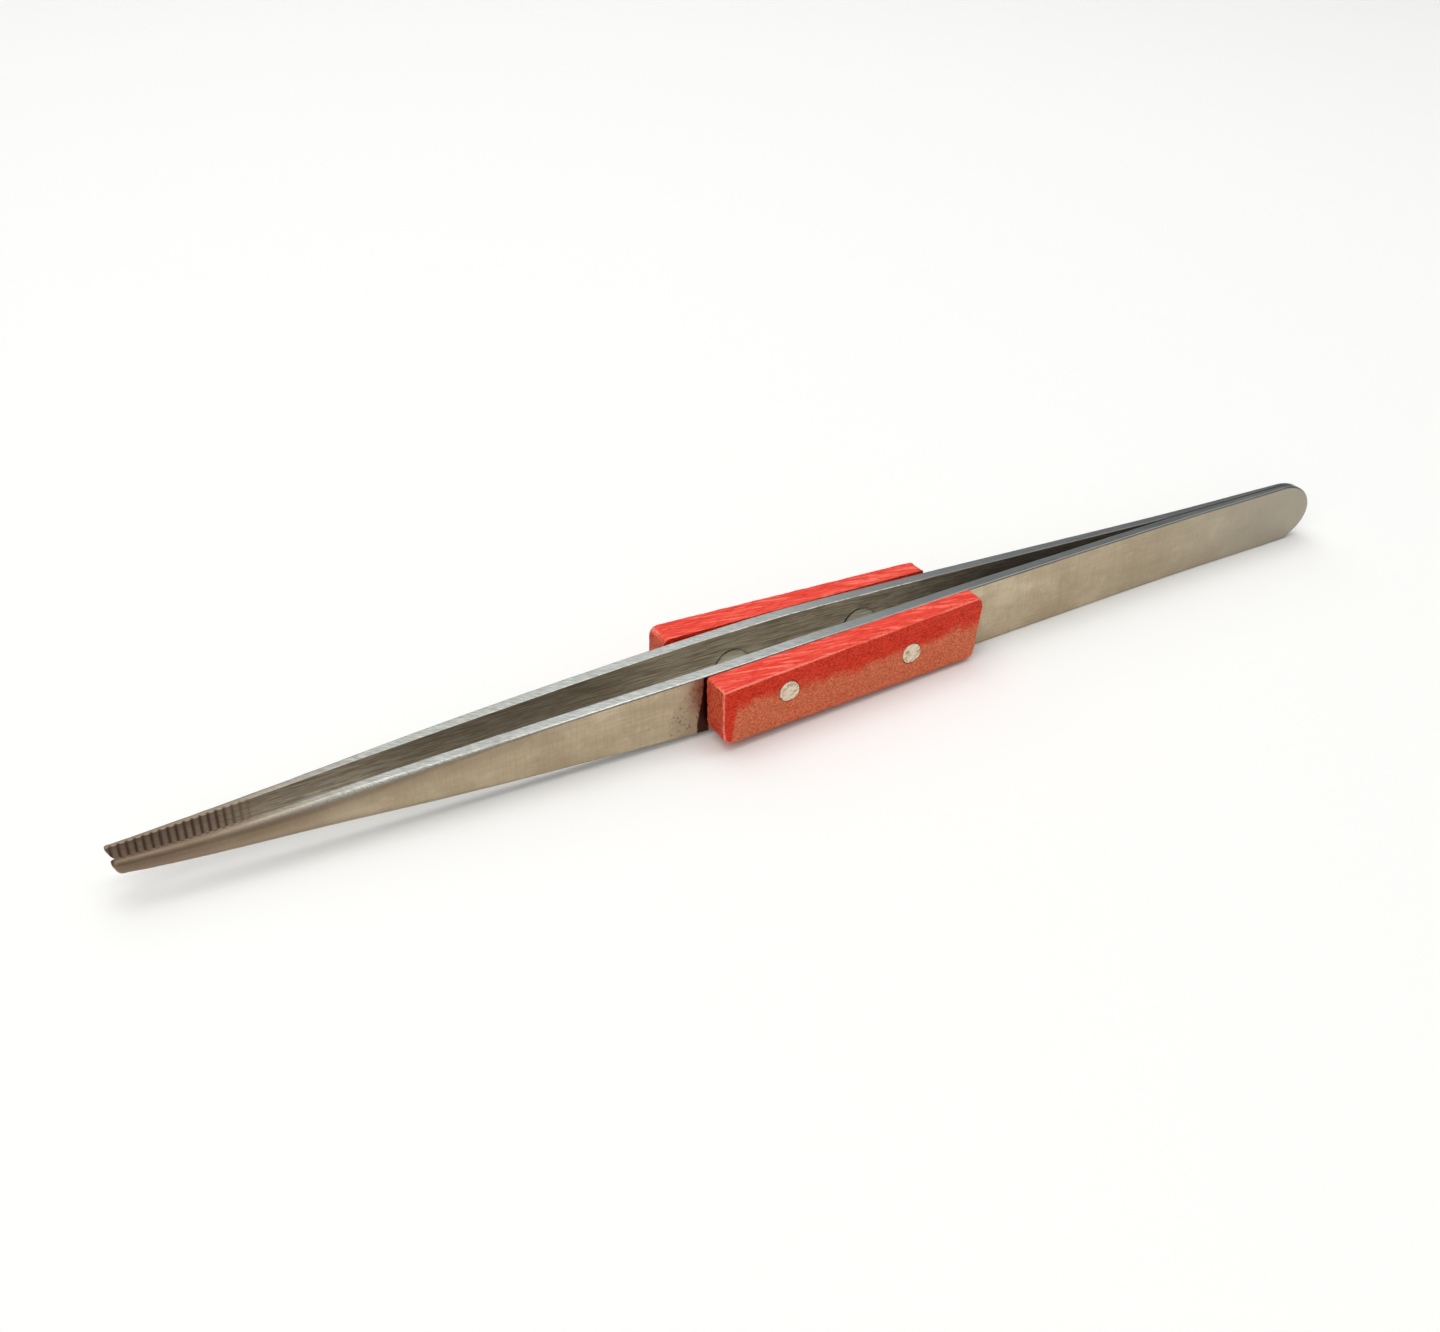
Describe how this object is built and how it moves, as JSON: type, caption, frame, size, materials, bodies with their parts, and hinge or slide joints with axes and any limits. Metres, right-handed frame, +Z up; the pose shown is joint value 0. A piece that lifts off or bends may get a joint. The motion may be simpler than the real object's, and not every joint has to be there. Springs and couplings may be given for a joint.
{
  "type": "fibre-grip soldering tweezers",
  "caption": "Straight sprung steel tweezers with serrated jaws, welded rounded heel and riveted red fibre grips, for holding small hot or delicate work.",
  "frame": {"origin": "on the surface that the tweezers lie on, under the middle of their length and between the two blades", "axes": "+X from the tips to the welded heel, +Y across the gap towards the right blade, +Z up across the blades' width"},
  "size_m": [0.165, 0.0173, 0.0089],
  "materials": {
    "blade_steel": "satin, brushed along and across",
    "grip_fibre": "dyed red, worn matt",
    "rivet_aluminium": "filed flush"
  },
  "bodies": {
    "welded_heel": {"left_blade_heel": "blade_steel", "right_blade_heel": "blade_steel"},
    "right_arm": {"right_blade": "blade_steel", "right_grip": "grip_fibre", "right_tip_rivet": "rivet_aluminium", "right_heel_rivet": "rivet_aluminium"},
    "left_arm": {"left_blade": "blade_steel", "left_grip": "grip_fibre", "left_tip_rivet": "rivet_aluminium", "left_heel_rivet": "rivet_aluminium"}
  },
  "joints": [
    {"name": "right_blade_flex", "type": "hinge", "parent": "welded_heel", "child": "right_arm", "pos_m": [0.0575, 0, 0.00435], "axis": [0, 0, 1], "range_deg": [0, 0.405], "stiffness_Nm_per_rad": 14},
    {"name": "left_blade_flex", "type": "hinge", "parent": "welded_heel", "child": "left_arm", "pos_m": [0.0575, 0, 0.00435], "axis": [0, 0, -1], "range_deg": [0, 0.405], "stiffness_Nm_per_rad": 14}
  ],
  "couplings": [
    {"joint": "left_blade_flex", "follows": "right_blade_flex", "ratio": 1}
  ]
}
